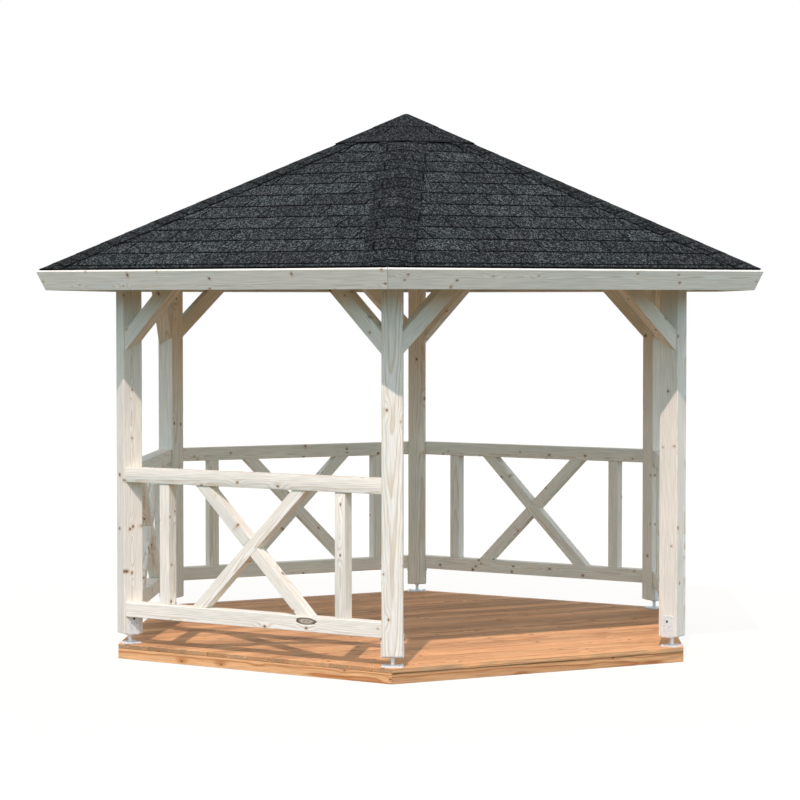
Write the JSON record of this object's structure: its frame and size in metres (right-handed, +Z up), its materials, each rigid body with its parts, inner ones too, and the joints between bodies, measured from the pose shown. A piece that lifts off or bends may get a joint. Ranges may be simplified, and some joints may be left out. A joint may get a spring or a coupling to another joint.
{
  "type": "garden gazebo",
  "caption": "Open hexagonal wooden garden gazebo on a low deck, with cross-braced railings on all sides but the entrance and a shingled pyramid roof.",
  "frame": {"origin": "on the ground under the middle of the deck, at the bottom centre of the bounding box", "axes": "+Z up; the open entrance side faces -Y; +X runs to the right for someone facing the entrance, along the deck boards, and is the longest extent"},
  "size_m": [4.717, 4.0856, 3.1956],
  "materials": {
    "spruce": "bare planed spruce, matt",
    "deck_wood": "stained planed boards, matt",
    "galvanised_steel": "galvanised",
    "shingle": "mineral-coated bitumen felt",
    "roof_wood": "bare sawn spruce, matt"
  },
  "bodies": {
    "root": {"post_front_left": "spruce", "post_front_right": "spruce", "post_right": "spruce", "post_back_right": "spruce", "post_back_left": "spruce", "post_left": "spruce", "post_foot_front_left": "galvanised_steel", "post_foot_front_right": "galvanised_steel", "post_foot_right": "galvanised_steel", "post_foot_back_right": "galvanised_steel", "post_foot_back_left": "galvanised_steel", "post_foot_left": "galvanised_steel", "top_beam_front": "spruce", "top_beam_front_right": "spruce", "top_beam_back_right": "spruce", "top_beam_back": "spruce", "top_beam_back_left": "spruce", "top_beam_front_left": "spruce", "braces_front": "spruce", "braces_front_right": "spruce", "braces_back_right": "spruce", "braces_back": "spruce", "braces_back_left": "spruce", "braces_front_left": "spruce", "rails_front_right": "spruce", "rails_back_right": "spruce", "rails_back": "spruce", "rails_back_left": "spruce", "rails_front_left": "spruce", "railing_infill_front_right": "spruce", "railing_infill_back_right": "spruce", "railing_infill_back": "spruce", "railing_infill_back_left": "spruce", "railing_infill_front_left": "spruce", "deck_boards": "deck_wood", "deck_rim": "deck_wood", "deck_joists": "deck_wood", "fascia": "spruce", "roof_hub": "spruce", "hip_rafters": "spruce", "rafters": "spruce", "roof_boards": "roof_wood", "shingles": "shingle", "hip_caps": "shingle", "peak_cap": "shingle"}
  },
  "joints": []
}
